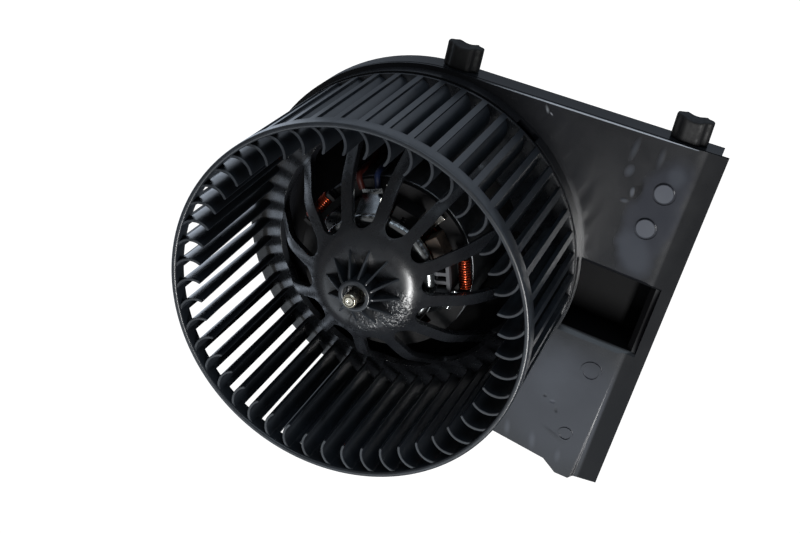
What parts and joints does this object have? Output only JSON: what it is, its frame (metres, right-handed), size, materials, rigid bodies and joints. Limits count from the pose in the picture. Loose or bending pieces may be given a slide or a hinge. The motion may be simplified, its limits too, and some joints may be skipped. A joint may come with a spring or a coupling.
{
  "type": "car cabin blower motor",
  "caption": "Car cabin blower: forward-curved wheel with a slotted dome hub on a brushed motor, held in a moulded plate with an air duct and rubber buffers.",
  "frame": {"origin": "on the wheel's axis, in the front face of the base plate", "axes": "+Z along the wheel's axis towards the open inlet, +X towards the straight right edge of the plate's wing, +Y towards the long edge with the rubber buffers"},
  "size_m": [0.1924, 0.1797, 0.13],
  "materials": {
    "bracket_steel": "zinc plated, pressed",
    "buffer_rubber": "matte",
    "can_steel": "zinc plated, drawn",
    "capacitor_dark": "dipped",
    "carbon": "pressed, matte",
    "card_plastic": "moulded, matte",
    "commutator_copper": "turned",
    "copper_wire": "enamelled",
    "cutout_tan": "moulded",
    "ferrite": "sintered, matte",
    "isolator_rubber": "matte",
    "lamination_steel": "stacked sheet",
    "lead_blue": "insulated lead",
    "lead_red": "insulated lead",
    "plate_plastic": "moulded, satin",
    "shaft_steel": "ground",
    "sintered_bronze": "sintered, oiled",
    "spring_steel": "drawn",
    "tinned_brass": "tin plated",
    "washer_plastic": "moulded",
    "wheel_plastic": "moulded, fine satin"
  },
  "bodies": {
    "housing": {"base_plate": "plate_plastic", "motor_can": "can_steel", "magnet_right": "ferrite", "magnet_left": "ferrite", "front_bearing": "sintered_bronze", "rear_bearing": "sintered_bronze", "rear_bearing_retainer": "spring_steel", "end_bracket": "bracket_steel", "brush_card": "card_plastic", "brush_spring_upper": "spring_steel", "brush_spring_lower": "spring_steel", "choke_core_right": "ferrite", "choke_core_left": "ferrite", "choke_coil_right": "copper_wire", "choke_coil_left": "copper_wire", "thermal_cutout": "cutout_tan", "suppression_capacitor": "capacitor_dark", "contact_bar_right": "tinned_brass", "contact_bar_left": "tinned_brass", "front_isolator": "isolator_rubber", "rear_isolator": "isolator_rubber", "lead_red": "lead_red", "lead_blue": "lead_blue", "plug_pins": "tinned_brass", "rubber_buffer_left": "buffer_rubber", "rubber_buffer_right": "buffer_rubber", "rubber_buffer_side": "buffer_rubber"},
    "rotor": {"blower_wheel": "wheel_plastic", "motor_shaft": "shaft_steel", "armature_core": "lamination_steel", "armature_windings": "copper_wire", "commutator": "commutator_copper", "thrust_washer": "washer_plastic"},
    "brush_upper": {"carbon_brush_upper": "carbon"},
    "brush_lower": {"carbon_brush_lower": "carbon"}
  },
  "joints": [
    {"name": "rotor_spin", "type": "hinge", "parent": "housing", "child": "rotor", "pos_m": [0, 0, 0], "axis": [0, 0, 1], "continuous": true},
    {"name": "brush_upper_slide", "type": "slide", "parent": "housing", "child": "brush_upper", "axis": [0.1736, 0.9848, 0], "range_m": [0, 0.0025], "stiffness_N_per_m": 60, "springref_m": -0.01, "deforming": ["brush_spring_upper"]},
    {"name": "brush_lower_slide", "type": "slide", "parent": "housing", "child": "brush_lower", "axis": [-0.1736, -0.9848, 0], "range_m": [0, 0.0025], "stiffness_N_per_m": 60, "springref_m": -0.01, "deforming": ["brush_spring_lower"]}
  ]
}
